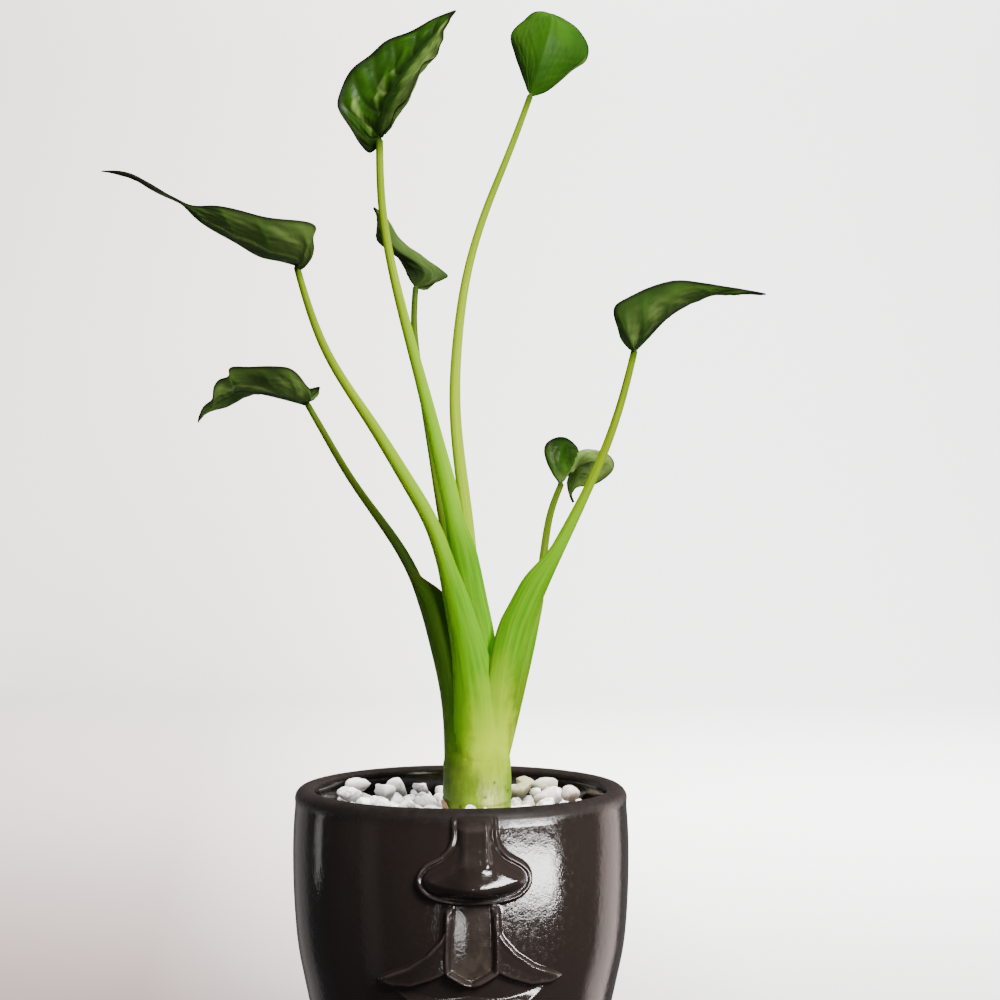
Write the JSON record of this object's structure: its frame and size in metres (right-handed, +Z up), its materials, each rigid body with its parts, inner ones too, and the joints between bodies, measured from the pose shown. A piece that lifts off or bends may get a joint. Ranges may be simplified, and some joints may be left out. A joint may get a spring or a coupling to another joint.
{
  "type": "potted alocasia",
  "caption": "Potted alocasia with long-stalked cup-shaped leaves on one stem, in a dark glazed ceramic pot with a nose and lips in relief, topped with white gravel.",
  "frame": {"origin": "centre of the pot's foot, on the surface that the pot stands on", "axes": "+Z up, -Y the side with the face in relief, +X to the right of a viewer who faces it"},
  "size_m": [0.2281, 0.1278, 0.4044],
  "materials": {
    "dark_glaze": "glossy, satin on the rim",
    "potting_soil": "rough crumbly earth",
    "white_gravel": "matte, mostly white with a few grey and tinted pebbles",
    "stem_green": "living plant tissue, satin",
    "petiole_green": "living plant tissue, satin",
    "leaf_green": "living leaf, glossy"
  },
  "bodies": {
    "root": {"pot": "dark_glaze", "soil": "potting_soil", "gravel": "white_gravel", "stem": "stem_green", "petiole_a": "petiole_green", "petiole_b": "petiole_green", "petiole_c": "petiole_green", "petiole_d": "petiole_green", "petiole_e": "petiole_green", "petiole_f": "petiole_green", "petiole_g": "petiole_green", "blade_a": "leaf_green", "blade_b": "leaf_green", "blade_c": "leaf_green", "blade_d": "leaf_green", "blade_e": "leaf_green", "blade_f": "leaf_green", "blade_g": "leaf_green"}
  },
  "joints": []
}
